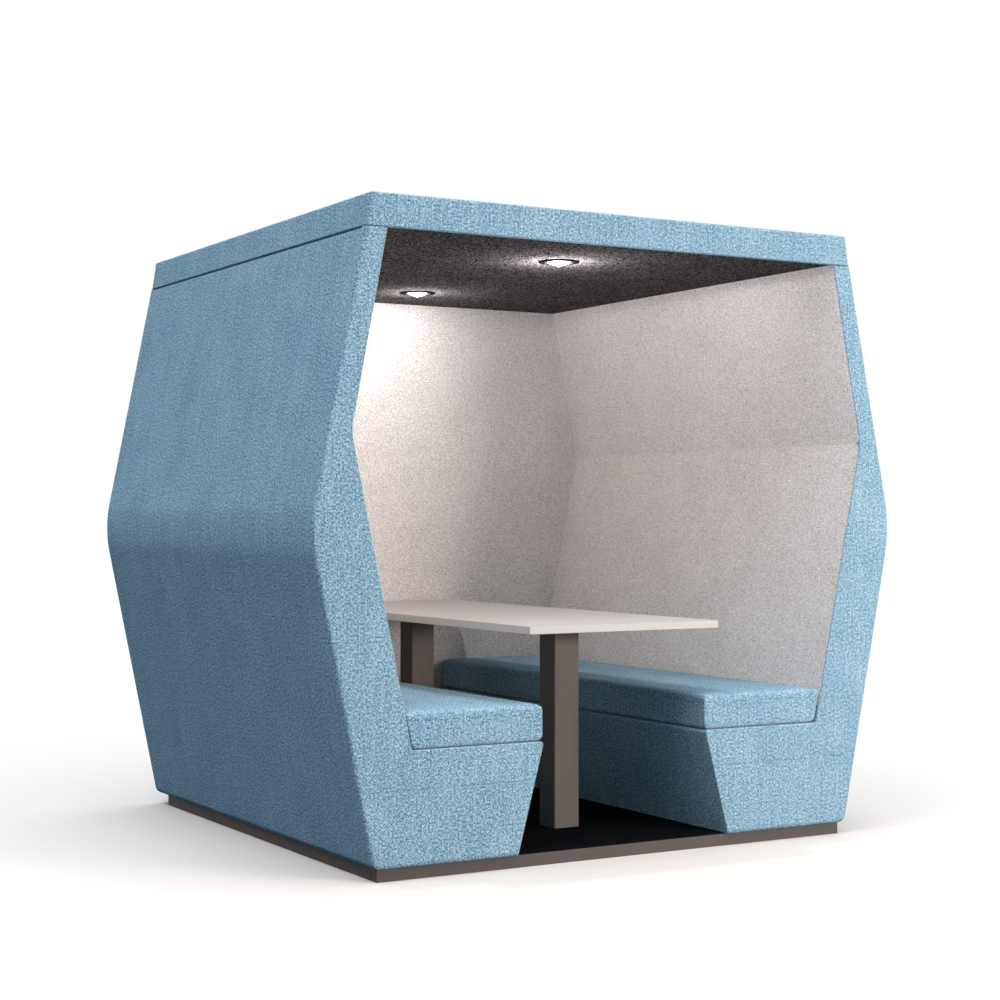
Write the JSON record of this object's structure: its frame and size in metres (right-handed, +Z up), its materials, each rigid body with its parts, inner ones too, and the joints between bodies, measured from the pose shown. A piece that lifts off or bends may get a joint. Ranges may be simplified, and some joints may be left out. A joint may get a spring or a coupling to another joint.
{
  "type": "acoustic office pod",
  "caption": "Open-fronted upholstered meeting pod with knuckled side walls, facing benches with loose cushions, a table on square legs, a lit roof and a plinth.",
  "frame": {"origin": "on the floor, under the middle of the pod's box", "axes": "+X across the front to the right, +Y from the open front to the back wall, +Z up"},
  "size_m": [2.2522, 1.896, 2.1],
  "materials": {
    "blue_fabric": "melange blue twill",
    "grey_lining": "warm grey felted cloth",
    "dark_lining": "dark brown-grey felt",
    "carpet": "black low-pile carpet",
    "plywood": "raw birch plywood",
    "softwood": "planed softwood",
    "plinth_paint": "brown-grey laminate on board",
    "table_board": "pale grey laminate on board",
    "leg_metal": "brown-grey fine-texture powder coat",
    "lamp_trim": "satin black",
    "lamp_reflector": "spun satin",
    "lamp_lens": "opal",
    "lamp_body": "as cast",
    "spring_steel": "bright",
    "driver_case": "white moulding",
    "lead_sheath": "black sheath",
    "foot_plastic": "black moulding"
  },
  "bodies": {
    "pod": {"left_outer_cover": "blue_fabric", "left_front_pad": "blue_fabric", "left_rib_front": "plywood", "left_rib_middle": "plywood", "left_rib_rear": "plywood", "left_top_rail": "softwood", "left_inner_lining": "grey_lining", "left_seat_deck": "plywood", "left_bench_front": "blue_fabric", "right_outer_cover": "blue_fabric", "right_front_pad": "blue_fabric", "right_rib_front": "plywood", "right_rib_middle": "plywood", "right_rib_rear": "plywood", "right_top_rail": "softwood", "right_inner_lining": "grey_lining", "right_seat_deck": "plywood", "right_bench_front": "blue_fabric", "back_cover": "blue_fabric", "back_board": "plywood", "back_lining": "grey_lining", "roof_cover": "blue_fabric", "roof_frame": "softwood", "ceiling_lining": "dark_lining", "front_lamp_trim_ring": "lamp_trim", "front_lamp_reflector": "lamp_reflector", "front_lamp_lens": "lamp_lens", "front_lamp_body": "lamp_body", "rear_lamp_trim_ring": "lamp_trim", "rear_lamp_reflector": "lamp_reflector", "rear_lamp_lens": "lamp_lens", "rear_lamp_body": "lamp_body", "led_driver": "driver_case", "lead_to_front_lamp": "lead_sheath", "lead_to_rear_lamp": "lead_sheath", "plinth_front_rail": "plinth_paint", "plinth_back_rail": "plinth_paint", "plinth_left_rail": "plinth_paint", "plinth_right_rail": "plinth_paint", "plinth_joist_left": "softwood", "plinth_joist_right": "softwood", "floor_deck": "plywood", "floor_carpet": "carpet", "table_top": "table_board", "table_leg_front": "leg_metal", "table_leg_rear": "leg_metal", "leg_block_front_top": "softwood", "leg_block_front_bottom": "softwood", "leg_block_rear_top": "softwood", "leg_block_rear_bottom": "softwood"},
    "left_cushion": {"left_seat_cushion": "blue_fabric"},
    "right_cushion": {"right_seat_cushion": "blue_fabric"},
    "foot_front_left": {"levelling_foot_front_left": "foot_plastic"},
    "foot_front_right": {"levelling_foot_front_right": "foot_plastic"},
    "foot_rear_left": {"levelling_foot_rear_left": "foot_plastic"},
    "foot_rear_right": {"levelling_foot_rear_right": "foot_plastic"},
    "front_clip_left": {"front_lamp_clip_left": "spring_steel"},
    "front_clip_right": {"front_lamp_clip_right": "spring_steel"},
    "rear_clip_left": {"rear_lamp_clip_left": "spring_steel"},
    "rear_clip_right": {"rear_lamp_clip_right": "spring_steel"}
  },
  "joints": [
    {"name": "left_cushion_lift", "type": "slide", "parent": "pod", "child": "left_cushion", "axis": [0, 0, 1], "range_m": [0, 0.15]},
    {"name": "right_cushion_lift", "type": "slide", "parent": "pod", "child": "right_cushion", "axis": [0, 0, 1], "range_m": [0, 0.15]},
    {"name": "foot_front_left_screw", "type": "slide", "parent": "pod", "child": "foot_front_left", "axis": [0, 0, -1], "range_m": [0, 0.01]},
    {"name": "foot_front_right_screw", "type": "slide", "parent": "pod", "child": "foot_front_right", "axis": [0, 0, -1], "range_m": [0, 0.01]},
    {"name": "foot_rear_left_screw", "type": "slide", "parent": "pod", "child": "foot_rear_left", "axis": [0, 0, -1], "range_m": [0, 0.01]},
    {"name": "foot_rear_right_screw", "type": "slide", "parent": "pod", "child": "foot_rear_right", "axis": [0, 0, -1], "range_m": [0, 0.01]},
    {"name": "front_clip_left_fold", "type": "hinge", "parent": "pod", "child": "front_clip_left", "pos_m": [-0.0653, -0.528, 2.0103], "axis": [0, 1, 0], "range_deg": [0, 80], "stiffness_Nm_per_rad": 0.02, "springref_deg": -20.05},
    {"name": "front_clip_right_fold", "type": "hinge", "parent": "pod", "child": "front_clip_right", "pos_m": [0.0653, -0.528, 2.0103], "axis": [0, -1, 0], "range_deg": [0, 80], "stiffness_Nm_per_rad": 0.02, "springref_deg": -20.05},
    {"name": "rear_clip_left_fold", "type": "hinge", "parent": "pod", "child": "rear_clip_left", "pos_m": [-0.0653, 0.528, 2.0103], "axis": [0, 1, 0], "range_deg": [0, 80], "stiffness_Nm_per_rad": 0.02, "springref_deg": -20.05},
    {"name": "rear_clip_right_fold", "type": "hinge", "parent": "pod", "child": "rear_clip_right", "pos_m": [0.0653, 0.528, 2.0103], "axis": [0, -1, 0], "range_deg": [0, 80], "stiffness_Nm_per_rad": 0.02, "springref_deg": -20.05}
  ]
}
